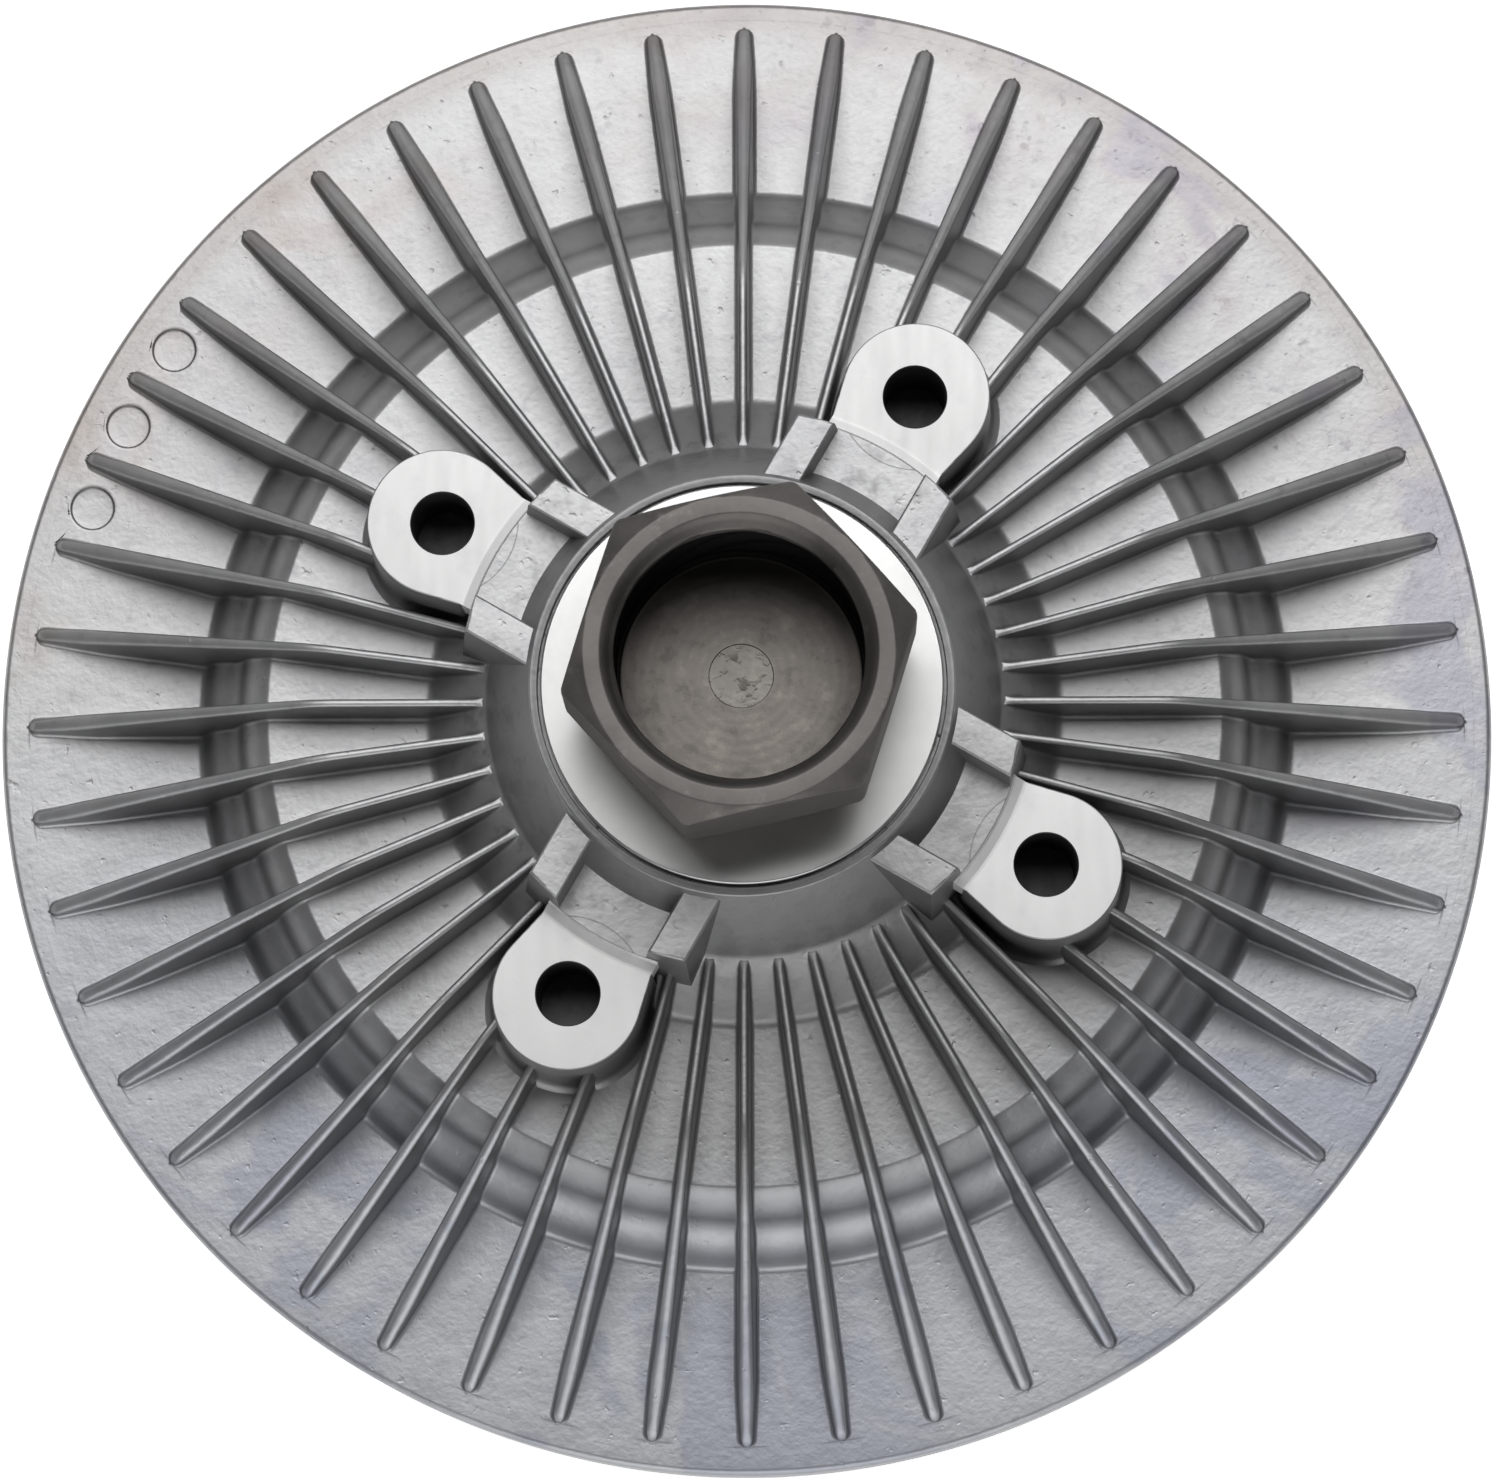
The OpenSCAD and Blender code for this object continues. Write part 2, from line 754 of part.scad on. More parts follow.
module valve_shaft() {
    slot = coil_t + 2 * slot_clear;
    color("lightslategray")
        difference() {
            union() {
                translate([0, 0, coil_z])
                    cylinder(r = valve_r, h = arm_z - coil_z);
                translate([0, 0, arm_z - 0.5])
                    cylinder(r = spigot_r, h = arm_t + 0.6);
            }
            translate([-valve_r - 1, -slot / 2, coil_z - 1])
                cube([2 * valve_r + 2, slot, coil_w + 1 + loose_clear]);
        }
}

module valve_arm() {
    color("lightsteelblue")
        translate([0, 0, arm_z])
            linear_extrude(height = arm_t)
                difference() {
                    union() {
                        circle(r = arm_boss_r);
                        translate([-arm_w / 2, -arm_r + arm_w / 2])
                            square([arm_w, 2 * arm_r - arm_w]);
                        for (s = [-1, 1])
                            translate([0, s * (arm_r - arm_w / 2)])
                                circle(d = arm_w);
                    }
                    circle(r = spigot_r);
                }
}

module valve_bush() {
    color("peru")
        ring(bush_r, valve_r + run_clear, bush_low_z, bush_top_z - bush_low_z);
}

module valve_seal() {
    color("black")
        ring(bush_r, valve_r + run_clear, valve_seal_z, bush_low_z - valve_seal_z);
}

// Flat spiral of half rings whose centres lie to either side of the axis in turn
module bimetal_coil() {
    color("darkkhaki")
        translate([0, 0, coil_z])
            union() {
                for (k = [0 : coil_halves - 1])
                    translate([k % 2 == 0 ? coil_side : -coil_side, 0, 0])
                        rotate([0, 0, k % 2 == 0 ? 0 : 180])
                            rotate_extrude(angle = 180)
                                translate([coil_r0 + k * coil_step - coil_t / 2, 0])
                                    square([coil_t, coil_w]);
                translate([-valve_r, -coil_t / 2, 0])
                    cube([coil_side + coil_r0 + coil_t / 2 + valve_r, coil_t, coil_w]);
                translate([post_x - 2.4, -coil_t / 2, 0])
                    cube([-post_x + 2.4 - coil_end_r + coil_side, coil_t, coil_w]);
            }
}

rear_housing();
front_cover();
cover_seal();
pump_plate();
plate_rivets();
wiper_block();
bearing_outer_race();
bearing_inner_race();
bearing_balls();
bearing_cage_rear();
bearing_cage_front();
bearing_seal_rear();
bearing_seal_front();
bearing_clip();
drive_shaft();
dust_shield();
clutch_rotor();
rotor_clip();
valve_shaft();
valve_arm();
valve_bush();
valve_seal();
bimetal_coil();
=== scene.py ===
import math
import bpy
import numpy as np
from mathutils import Matrix, Vector


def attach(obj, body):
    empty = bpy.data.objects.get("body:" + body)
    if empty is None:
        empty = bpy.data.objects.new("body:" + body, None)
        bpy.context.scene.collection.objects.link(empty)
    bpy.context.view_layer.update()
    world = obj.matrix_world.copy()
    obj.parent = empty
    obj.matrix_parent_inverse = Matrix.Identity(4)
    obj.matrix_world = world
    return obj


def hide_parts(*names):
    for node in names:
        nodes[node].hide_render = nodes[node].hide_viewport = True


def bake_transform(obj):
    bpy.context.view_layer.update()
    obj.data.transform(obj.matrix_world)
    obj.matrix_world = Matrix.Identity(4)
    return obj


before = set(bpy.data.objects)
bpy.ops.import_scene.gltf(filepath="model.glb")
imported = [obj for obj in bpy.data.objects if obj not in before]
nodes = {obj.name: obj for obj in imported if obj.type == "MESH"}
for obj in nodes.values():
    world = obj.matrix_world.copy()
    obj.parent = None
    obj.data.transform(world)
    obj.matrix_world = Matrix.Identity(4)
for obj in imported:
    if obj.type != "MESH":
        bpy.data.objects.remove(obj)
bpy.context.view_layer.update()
mm = 0.001
print("frame loaded")


class Wire:
    def __init__(self, maker, socket):
        self.maker = maker
        self.socket = socket

    def calc(self, kind, *others):
        ins = {0: self}
        for i, o in enumerate(others):
            ins[i + 1] = o
        return self.maker.make("ShaderNodeMath", {"operation": kind}, ins)

    def __add__(self, o):
        return self.calc("ADD", o)

    def __radd__(self, o):
        return self.calc("ADD", o)

    def __sub__(self, o):
        return self.calc("SUBTRACT", o)

    def __rsub__(self, o):
        return self.calc("MULTIPLY", -1.0).calc("ADD", o)

    def __mul__(self, o):
        return self.calc("MULTIPLY", o)

    def __rmul__(self, o):
        return self.calc("MULTIPLY", o)

    def __neg__(self):
        return self.calc("MULTIPLY", -1.0)

    def least(self, o):
        return self.calc("MINIMUM", o)

    def rise(self, low, high):  # 0 below low, 1 above high, smooth between
        return self.maker.make("ShaderNodeMapRange", {"interpolation_type": "SMOOTHSTEP"},
                               {"Value": self, "From Min": low, "From Max": high})

    def bump(self, middle, half):  # 1 at the middle, 0 half away
        return 1.0 - (self - middle).calc("ABSOLUTE").rise(0.0, half)


class Shader:
    def __init__(self, name):
        self.material = bpy.data.materials.new(name)
        self.material.use_nodes = True
        self.tree = self.material.node_tree
        self.surface = self.tree.nodes["Principled BSDF"]
        self.place = self.make("ShaderNodeTexCoord", {}, {}, "Object")

    def make(self, kind, settings, inputs, out=0):
        node = self.tree.nodes.new(kind)
        for key, value in settings.items():
            setattr(node, key, value)
        for key, value in inputs.items():
            if isinstance(value, Wire):
                self.tree.links.new(value.socket, node.inputs[key])
            else:
                node.inputs[key].default_value = value
        return Wire(self, node.outputs[out])

    def axis(self, name):
        return self.make("ShaderNodeSeparateXYZ", {}, {0: self.place}, name)

    def radius(self):
        flat = self.make("ShaderNodeVectorMath", {"operation": "MULTIPLY"}, {0: self.place, 1: (1, 1, 0)})
        return self.make("ShaderNodeVectorMath", {"operation": "LENGTH"}, {0: flat}, "Value")

    def away(self, point):  # distance from a point of the frame
        return self.make("ShaderNodeVectorMath", {"operation": "DISTANCE"}, {0: self.place, 1: point}, "Value")

    def noise(self, scale, detail=4.0, rough=0.6, stretch=None, twist=0.0):
        where = self.place
        if stretch:
            where = self.make("ShaderNodeVectorMath", {"operation": "MULTIPLY"}, {0: where, 1: stretch})
        return self.make("ShaderNodeTexNoise", {}, {"Vector": where, "Scale": scale, "Detail": detail,
                                                    "Roughness": rough, "Distortion": twist})

    def tint(self, factor, a, b):
        return self.make("ShaderNodeMix", {"data_type": "RGBA"}, {0: factor, 6: colour(a), 7: colour(b)}, 2)

    def relief(self, height, depth, normal=None):
        ins = {"Height": height, "Distance": depth, "Strength": 1.0}
        if normal:
            ins["Normal"] = normal
        return self.make("ShaderNodeBump", {}, ins)

    def finish(self, **values):
        for key, value in values.items():
            name = {"base": "Base Color", "rough": "Roughness", "metal": "Metallic", "normal": "Normal",
                    "coat": "Coat Weight", "level": "Specular IOR Level"}[key]
            if isinstance(value, Wire):
                self.tree.links.new(value.socket, self.surface.inputs[name])
            else:
                self.surface.inputs[name].default_value = colour(value) if key == "base" else value
        return self.material


def colour(c):
    return c if isinstance(c, Wire) else (*c, 1.0)


def castAlloy(name, stains):
    s = Shader(name)
    x, y, r = s.axis("X"), s.axis("Y"), s.radius()
    facing = s.make("ShaderNodeTexCoord", {}, {}, "Normal")
    steepShade = s.make("ShaderNodeSeparateXYZ", {}, {0: facing}, "Z").calc("ABSOLUTE").rise(0.85, 0.35)
    mottle = s.noise(90, 4, 0.65)
    cloud = s.noise(28, 2, 0.6)
    fine = s.noise(1500, 1, 0.6)
    grain = s.noise(420, 3, 0.62)
    pits = s.noise(620, 2, 0.75)
    base = s.tint(mottle.rise(0.286, 0.714), (0.59, 0.59, 0.60), (0.735, 0.735, 0.74))
    base = s.tint(cloud.rise(0.395, 0.69) * 0.4, base, (0.76, 0.76, 0.76))
    base = s.tint(grain.rise(0.544, 0.741) * 0.4, base, (0.44, 0.44, 0.46))
    base = s.tint(pits.rise(0.697, 0.82) * 0.35, base, (0.25, 0.25, 0.26))
    if stains:
        rim = r.rise(0.062, 0.084)
        patch = s.noise(40, 3, 0.65, None, 0.9)
        warm = patch.rise(0.39, 0.655) * (y - 0.01).rise(-0.02, 0.05) * rim
        rust = patch.rise(0.55, 0.72) * (y - x * 0.9).rise(0.05, 0.11) * r.rise(0.078, 0.088)
        cold = patch.rise(0.50, 0.645) * (x + y * 0.35).rise(0.0, 0.07) * r.rise(0.058, 0.072)
        speck = s.noise(300, 3, 0.75).rise(0.581, 0.709) * (x * 0.7 + y * 0.7).rise(0.05, 0.08) * rim
        low = (-y).rise(-0.01, 0.06) * r.rise(0.05, 0.068)
        pool = patch.rise(0.473, 0.56) * (-y).rise(0.01, 0.05) * r.rise(0.066, 0.072)
        base = s.tint(warm * 0.6, base, (0.60, 0.535, 0.51))
        base = s.tint(r.rise(0.0845, 0.0895) * y.rise(0.0, 0.06) * 0.5, base, (0.50, 0.462, 0.44))
        base = s.tint(rust * 0.45, base, (0.42, 0.34, 0.29))
        base = s.tint(cold * 0.5, base, (0.43, 0.43, 0.54))
        base = s.tint(speck * 0.5, base, (0.33, 0.29, 0.33))
        # painted shade: inside the plateau's outer edge the surface is darkened towards the bottom right
        plateauShade = (x * 0.5 - y).rise(-0.005, 0.05) * r.rise(0.061, 0.057)
        # dirt and painted shade: a patchy darkening round the hub cone and rib roots, where the crevices lie
        grimeAndShade = s.noise(210, 3, 0.7).rise(0.477, 0.682) * r.bump(30 * mm, 7.5 * mm)
        base = s.tint(grimeAndShade * 0.5, base, (0.27, 0.27, 0.275))
        # painted shade: a dark ring at the hub's end, next to the shield
        base = s.tint(r.bump(24.3 * mm, 1.0 * mm) * 0.75, base, (0.15, 0.15, 0.152))
        base = s.tint(plateauShade * 0.62, base, (0.34, 0.34, 0.34))
        base = s.tint(low * 0.45, base, (0.60, 0.62, 0.69))
        base = s.tint(pool * 0.5, base, (0.42, 0.45, 0.54))
    # painted shade: faces that stand steep, such as the fin flanks, are darkened
    base = s.tint(steepShade * 0.7, base, (0.24, 0.24, 0.242))
    rough = 0.405 + mottle * 0.11 + fine * 0.05
    height = grain * 0.55 + fine * 0.2 + mottle * 0.75 - pits.rise(0.648, 0.795) * 0.35
    normal = s.relief(height, 0.00012)
    if stains:
        # painted shade: a dark ring along the edge of each stamped recess
        stampEdgeShade = None
        for turn in (146.25, 153.75, 161.25):
            a = math.radians(turn)
            d = s.away((84.6 * mm * math.cos(a), 84.6 * mm * math.sin(a), 26 * mm))
            ring = d.bump(2.66 * mm, 0.22 * mm)
            stampEdgeShade = ring if stampEdgeShade is None else stampEdgeShade + ring
        base = s.tint(stampEdgeShade * 0.35, base, (0.25, 0.245, 0.24))
        # painted shade: a thin dark line round each lug, where the web steps down to the machined pad
        padEdgeShade = None
        for turn in (60, 150, 240, 330):
            a = math.radians(turn)
            d = s.away((41 * mm * math.cos(a), 41 * mm * math.sin(a), 50.6 * mm)).bump(9.0 * mm, 0.14 * mm)
            padEdgeShade = d if padEdgeShade is None else padEdgeShade + d
        base = s.tint(padEdgeShade * 0.7, base, (0.2, 0.2, 0.2))
    return s.finish(base=base, rough=rough, metal=0.86, normal=normal)


def machinedFace(name):
    s = Shader(name)
    fine = s.noise(700, 3, 0.5, (1.0, 0.2, 1.0))
    speck = s.noise(260, 4, 0.7)
    marks = s.make("ShaderNodeTexWave", {"wave_type": "RINGS", "rings_direction": "Z"},
                   {"Vector": s.place, "Scale": 420.0, "Distortion": 1.2, "Detail": 2.0})
    base = s.tint(speck.rise(0.5, 0.75) * 0.35, (0.95, 0.95, 0.945), (0.82, 0.82, 0.83))
    normal = s.relief(marks * 0.25 + fine * 0.3, 0.000004)
    return s.finish(base=base, rough=0.44 + fine * 0.12, metal=0.6, normal=normal)


def plainMetal(name, look):
    s = Shader(name)
    mottle = s.noise(look.get("patch", 140), 5, 0.6)
    fine = s.noise(look.get("grain", 1400), 3, 0.6)
    base = s.tint(mottle.rise(0.35, 0.68), look["dark"], look["light"])
    rough = look["rough"] + mottle * 0.1 + fine * 0.06
    normal = s.relief(fine * 0.4 + mottle * 0.6, look.get("depth", 0.00003))
    return s.finish(base=base, rough=rough, metal=look.get("metal", 1.0), normal=normal)


def shaftSteel(name):
    s = Shader(name)
    y, z, r = s.axis("Y"), s.axis("Z"), s.radius()
    mottle = s.noise(120, 6, 0.65)
    fine = s.noise(1300, 3, 0.6)
    scuff = s.noise(300, 5, 0.7, (1.0, 1.0, 0.4))
    floor = z.rise(63.2 * mm, 62.2 * mm) * r.rise(14.1 * mm, 13.6 * mm)
    boreWallShade = z.rise(77.4 * mm, 75.4 * mm) * r.rise(15.6 * mm, 15.2 * mm) * (1.0 - floor)
    base = s.tint(mottle.rise(0.3, 0.7), (0.19, 0.179, 0.17), (0.275, 0.26, 0.246))
    base = s.tint(scuff.rise(0.58, 0.75) * 0.4, base, (0.42, 0.40, 0.38))
    rings = (r * 5200.0 + mottle * 1.5).calc("SINE") * 0.5 + 0.5
    base = s.tint(floor * (0.35 + 0.12 * rings), base, (0.38, 0.34, 0.305))
    blotch = s.noise(330, 6, 0.72)
    base = s.tint(floor * blotch.rise(0.5, 0.68) * 0.45, base, (0.50, 0.45, 0.405))
    base = s.tint(floor * blotch.rise(0.46, 0.34) * 0.4, base, (0.13, 0.118, 0.107))
    mark = r.rise(3.9 * mm, 3.6 * mm) * floor
    blot = s.noise(520, 3, 0.6).rise(0.5, 0.62)
    base = s.tint(mark * 0.35, base, (0.44, 0.42, 0.39))
    base = s.tint(mark * blot * r.rise(3.3 * mm, 2.2 * mm) * 0.7, base, (0.12, 0.11, 0.10))
    # painted shade: the bore's wall is made nearly black
    base = s.tint(boreWallShade, base, (0.012, 0.011, 0.011))
    # painted shadow: the top of the bore's floor and its outer edge are darkened, where the wall shades them
    floorShadow = y.rise(0.0, 0.013) + r.rise(10.5 * mm, 14.2 * mm) * 0.5
    base = s.tint(floor * floorShadow.least(1.0) * 0.85, base, (0.03, 0.028, 0.026))
    facing = s.make("ShaderNodeTexCoord", {}, {}, "Normal")
    steepShade = s.make("ShaderNodeSeparateXYZ", {}, {0: facing}, "Z").calc("ABSOLUTE").rise(0.5, 0.15)
    # painted shade: steep faces, such as the hexagon's flats and the bore wall, are darkened
    base = s.tint(steepShade * 0.6, base, (0.08, 0.077, 0.074))
    rough = 0.46 + mottle * 0.16
    normal = s.relief(fine * 0.4 + mottle * 0.6 + rings * floor * 0.15 + blot * mark * 0.8, 0.00004)
    return s.finish(base=base, rough=rough, metal=0.9, normal=normal)


def rubber(name, tone):
    s = Shader(name)
    fine = s.noise(900, 4, 0.6)
    base = s.tint(fine, tone, tuple(c * 1.8 for c in tone))
    return s.finish(base=base, rough=0.55 + fine * 0.2, normal=s.relief(fine, 0.00004))


def arcPath(points, steps=5):  # corners of (r, z, fillet) to a smooth path
    path = []
    for i, (r, z, f) in enumerate(points):
        p = np.array([r, z], float)
        if f == 0 or i in (0, len(points) - 1):
            path.append(p)
            continue
        a = np.array(points[i - 1][:2], float) - p
        b = np.array(points[i + 1][:2], float) - p
        la, lb = np.linalg.norm(a), np.linalg.norm(b)
        a, b = a / la, b / lb
        half = math.acos(max(-1, min(1, float(a @ b)))) / 2
        reach = min(f / math.tan(half), 0.48 * la, 0.48 * lb)
        f = reach * math.tan(half)
        mid = p + (a + b) / np.linalg.norm(a + b) * f / math.sin(half)
        u, v = p + a * reach - mid, p + b * reach - mid
        turn = math.acos(max(-1, min(1, float(u @ v) / (f * f))))
        for k in range(steps + 1):
            t = k / steps
            w = (math.sin((1 - t) * turn) * u + math.sin(t * turn) * v) / math.sin(turn)
            path.append(mid + w)
    return path


def addMesh(name, verts, faces, material, body, sharp=None):
    mesh = bpy.data.meshes.new(name)
    mesh.from_pydata([tuple(v) for v in verts], [], faces)
    mesh.polygons.foreach_set("use_smooth", [True] * len(mesh.polygons))
    obj = bpy.data.objects.new(name, mesh)
    bpy.context.scene.collection.objects.link(obj)
    for m in material if isinstance(material, list) else [material]:
        mesh.materials.append(m)
    mesh.update()
    weight = obj.modifiers.new("weight", "WEIGHTED_NORMAL")
    weight.keep_sharp = True
    if sharp:
        mesh.set_sharp_from_angle(angle=math.radians(sharp))
    if body:
        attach(obj, body)
    return obj


def gridFaces(rows, columns, start=0):
    faces = []
    for j in range(rows - 1):
        a, b = start + j * columns, start + (j + 1) * columns
        for i in range(columns):
            k = (i + 1) % columns
            faces.append((a + i, a + k, b + k, b + i))
    return faces


def turned(profile, columns):  # rows of (r, z) in mm swept round the axis
    verts = []
    for r, z in profile:
        for i in range(columns):
            a = 2 * math.pi * i / columns
            verts.append((r * mm * math.cos(a), r * mm * math.sin(a), z * mm))
    return verts, gridFaces(len(profile), columns)


def finRow(r, base, crest, spec, up):  # offsets and heights across half a fin, valley to crest
    pitch = r * math.pi / spec["count"]
    height = max(up * (crest - base), 0.0)
    beyond = r >= spec["tip"]
    over = (min(r, spec["tip"] - 0.02) - spec["noseAt"]) / (spec["tip"] - spec["noseAt"])
    plan = 9.0
    if r > spec["tip"] - spec["taper"]:
        t = (r - spec["tip"] + spec["taper"]) / (spec["noseAt"] - spec["tip"] + spec["taper"])
        plan = spec["wide"] + (spec["nose"] - spec["wide"]) * min(1.0, t)
    if over > 0:
        plan = spec["nose"] * math.sqrt(max(0.0, 1 - over * over))
        height = height * max(0.0, 1 - over * over) ** 0.5
    even = [pitch * (1 - i / 12) for i in range(13)]
    rf = min(spec["rootFillet"], 0.55 * height + 0.05)
    wide = min(spec["half"](base + up * rf), plan)
    top = min(spec["half"](base + up * height), plan)
    rc = min(spec["crestRound"], 0.45 * height, 0.93 * top)
    out = [(pitch, 0.0), (0.5 * (pitch + wide + rf), 0.0)]
    for deg in (0, 22, 45, 68, 86):
        a = math.radians(deg)
        out.append((wide + rf - rf * math.sin(a), rf * (1 - math.cos(a))))
    out.append(((wide + top) / 2, (rf + height - rc) / 2))
    for deg in (4, 25, 48, 70):
        a = math.radians(deg)
        out.append((top - rc + rc * math.cos(a), height - rc + rc * math.sin(a)))
    out.append((0.0, height))
    blend = max(0.0, min(1.0, (spec["inner"] - r) / 1.2))
    line = []
    for (t, h), e in zip(out, even):
        h = h if height > 0.01 and not beyond else 0.0
        line.append((min(t, pitch) * (1 - blend) + e * blend, base + up * h))
    return line


def finnedSkin(path, spec, up):
    verts = []
    columns = spec["count"] * 24
    for r, z in path:
        full = finRow(r, z, spec["crest"](r), spec, up)
        bare = finRow(r, z, z, spec, up)
        for k in range(spec["count"]):
            mid = 2 * math.pi * k / spec["count"]
            half = bare if k in spec["skip"] and r < spec["skipBelow"] else full
            line = [(-t, h) for t, h in half] + [(t, h) for t, h in reversed(half[1:-1])]
            for t, h in line:
                a = mid + t / r
                verts.append((r * mm * math.cos(a), r * mm * math.sin(a), h * mm))
    return verts, gridFaces(len(path), columns)


def dense(path, marks):  # adds rows at the given radii on long stretches
    out = [path[0]]
    for p in path[1:]:
        q = out[-1]
        for m in sorted(marks, reverse=bool(q[0] > p[0])):
            if min(p[0], q[0]) + 0.02 < m < max(p[0], q[0]) - 0.02:
                t = (m - q[0]) / (p[0] - q[0])
                out.append(q + t * (p - q))
        out.append(p)
    return out


def softLeast(a, b, k):
    h = max(0.0, min(1.0, 0.5 + 0.5 * (b - a) / k))
    return b + (a - b) * h - k * h * (1 - h)


alloy = castAlloy("cast_alloy", True)
alloyPlain = castAlloy("cast_alloy_plain", False)
machined = machinedFace("machined_face")

rear = {"flange": 26.0, "plateau": 36.8, "crestTop": 43.6, "face": 49.7, "web": 50.6, "rib": 55.2, "hub": 56.2}


def rearCrest(r):
    return softLeast(rear["flange"] + 0.8 + (87.5 - r) * 16.8 / 36.0, rear["crestTop"], 1.2)


def rearHalf(z):  # half a fin's thickness, less with height
    return 1.15 - (z - rear["flange"]) * 0.65 / 17.6


rearFins = {"count": 48, "tip": 87.5, "noseAt": 86.2, "nose": 0.8, "taper": 10.0, "wide": 1.24, "inner": 30.9,
            "rootFillet": 0.55, "crestRound": 0.85, "crest": rearCrest, "half": rearHalf,
            "skip": (8, 20, 32, 44), "skipBelow": 49.0}


def rollPath(a, b, h):  # points of a shallow convex roll
    a, b = np.array(a), np.array(b)
    d = b - a
    n = np.array([d[1], -d[0]]) / np.linalg.norm(d)
    return [a + t * d + 4 * h * t * (1 - t) * n for t in np.linspace(0, 1, 7)]


rearPath = arcPath([(88.0, 17.0, 0), (85.4, 17.0, 0.1), (85.4, 14.5, 0.5), (90.8, 14.5, 1.4),
                    (90.8, rear["flange"], 0.8), (66.3, rear["flange"], 1.6), (65.6, 27.08, 0)], 5)[:-1]
rearPath += rollPath((65.6, 27.08), (61.98, 30.96), 0.5)
rearPath += rollPath((61.14, 32.04), (57.84, 36.5), 0.5)
rearPath += arcPath([(57.84, 36.5, 0), (57.2, rear["plateau"], 0.9), (37.8, rear["plateau"], 1.8), (30.6, 44.0, 2.5),
                     (24.9, rear["hub"], 0.35), (23.9, rear["hub"], 0.15), (23.9, 54.9, 0)], 5)[1:]
tipRows = [88.2, 87.8, 87.51, 87.48, 87.4, 87.25, 87.0, 86.65, 86.2]
finRows = [85, 83, 81, 79, 77.5, 75, 72, 69, 56, 54.5, 53, 52.2, 51.5, 50.8, 50, 49.2, 48.8, 46, 43, 40]
hubRows = [35, 34, 33, 32.2, 31.7, 31.4, 31.2, 31.0, 30.3]
rearRows = dense(rearPath, [88.6, 29.0] + tipRows + finRows + hubRows)
first = next(i for i, p in enumerate(rearRows) if p[1] > 25.99 and p[0] < 88.61)
last = next(i for i, p in enumerate(rearRows) if p[1] > 40 and p[0] < 29.01)
verts, faces = finnedSkin(rearRows[first:last + 1], rearFins, 1)
stamp = {"valleys": (19, 20, 21), "outer": 87.8, "inner": 81.0, "centre": 84.6, "round": 2.65, "depth": 0.3,
         "columns": 64}
skinRows, columns = rearRows[first:last + 1], rearFins["count"] * 24
rowA = next(i for i, p in enumerate(skinRows) if abs(p[0] - stamp["outer"]) < 0.01)
rowB = next(i for i, p in enumerate(skinRows) if abs(p[0] - stamp["inner"]) < 0.01)
cut, stampVerts, stampFaces = set(), [], []
for k in stamp["valleys"]:  # the flat floor round each circle is taken out and filled with a sunk disc
    c0 = k * 24 + 22
    cut.update(j * columns + c0 + i for j in range(rowA, rowB) for i in range(4))
    loop = [(j, c0) for j in range(rowA, rowB)] + [(rowB, c0 + i) for i in range(4)]
    loop += [(j, c0 + 4) for j in range(rowB, rowA, -1)] + [(rowA, c0 + i) for i in range(4, 0, -1)]
    edge = [Vector(verts[j * columns + c]) / mm for j, c in loop]
    a = math.radians((k + 0.5) * 360 / rearFins["count"])
    mid = Vector((stamp["centre"] * math.cos(a), stamp["centre"] * math.sin(a), 0))
    around = lambda v: math.atan2(v.y - mid.y, v.x - mid.x) % (2 * math.pi)
    edge.sort(key=around)
    n, m, start = len(edge), stamp["columns"], len(stampVerts)
    stampVerts += [v * mm for v in edge]
    deep = stamp["depth"]
    sink = ((0.4, 0.0), (0.14, 0.0), (0.05, 0.03), (0.0, 0.1), (-0.04, 0.22), (-0.12, 0.28),
            (-0.25, deep), (-1.4, deep), (-2.64, deep))
    for grow, drop in sink:
        for i in range(m):
            b = 2 * math.pi * i / m
            q = stamp["round"] + grow
            low = rear["flange"] - drop
            stampVerts.append(Vector((mid.x + q * math.cos(b), mid.y + q * math.sin(b), low)) * mm)
    turns = [around(v) for v in edge]
    i, j = 0, int(turns[0] / (2 * math.pi) * m)
    j0 = j
    while i < n or j < j0 + m:  # joins the valley's edge to the circle by angle
        nextEdge = turns[(i + 1) % n] + 2 * math.pi * ((i + 1) // n)
        nextRing = 2 * math.pi * (j + 1) / m
        e0, r0 = start + i % n, start + n + j % m
        if i < n and (nextEdge < nextRing or j >= j0 + m):
            stampFaces.append((e0, start + (i + 1) % n, r0))
            i += 1
        else:
            stampFaces.append((start + n + (j + 1) % m, r0, e0))
            j += 1
    stampFaces += gridFaces(len(sink), m, start + n)
stamps = addMesh("rear_housing_stamps", stampVerts, stampFaces, alloy, "housing")
faces = [f for i, f in enumerate(faces) if i not in cut]
spots, twin = np.unique(np.round(np.array(verts), 7), axis=0, return_inverse=True)  # joins points that coincide
verts, faces = spots.tolist(), twin.reshape(-1)[np.array(faces)]
faces = [tuple(dict.fromkeys(f)) for f in faces.tolist()]
faces = [f for f in faces if len(f) > 2]
skin = addMesh("rear_housing_skin", verts, faces, alloy, "housing")
rimRows = [tuple(p) for p in rearRows[:first]] + [(88.58, rear["flange"])]
verts, rimFaces = turned(rimRows, 384)
rim = addMesh("rear_housing_rim", verts, rimFaces, alloy, "housing")
verts, hubFaces = turned([tuple(p) for p in rearRows[last:]], 288)
hub = addMesh("rear_housing_hub", verts, hubFaces, alloy, "housing")
print("housing skin", len(faces), len(rimFaces), len(hubFaces))


def lugOutline(grow, inner, phi):  # distance from the hole to the edge of a lug
    c, s = math.cos(phi), abs(math.sin(phi))
    round, slope = lug["round"] + grow, math.tan(lug["taper"])
    sideX, sideY = 0.2 - round * math.sin(lug["taper"]), round * math.cos(lug["taper"])
    d = 0.2 * c + math.sqrt(round * round - (0.2 * s) ** 2)
    if s - c * slope > 1e-6:
        side = (sideY - sideX * slope) / (s - c * slope)
        d = side if side * c < sideX else d
    return min(d, inner / -c) if c < 0 else d


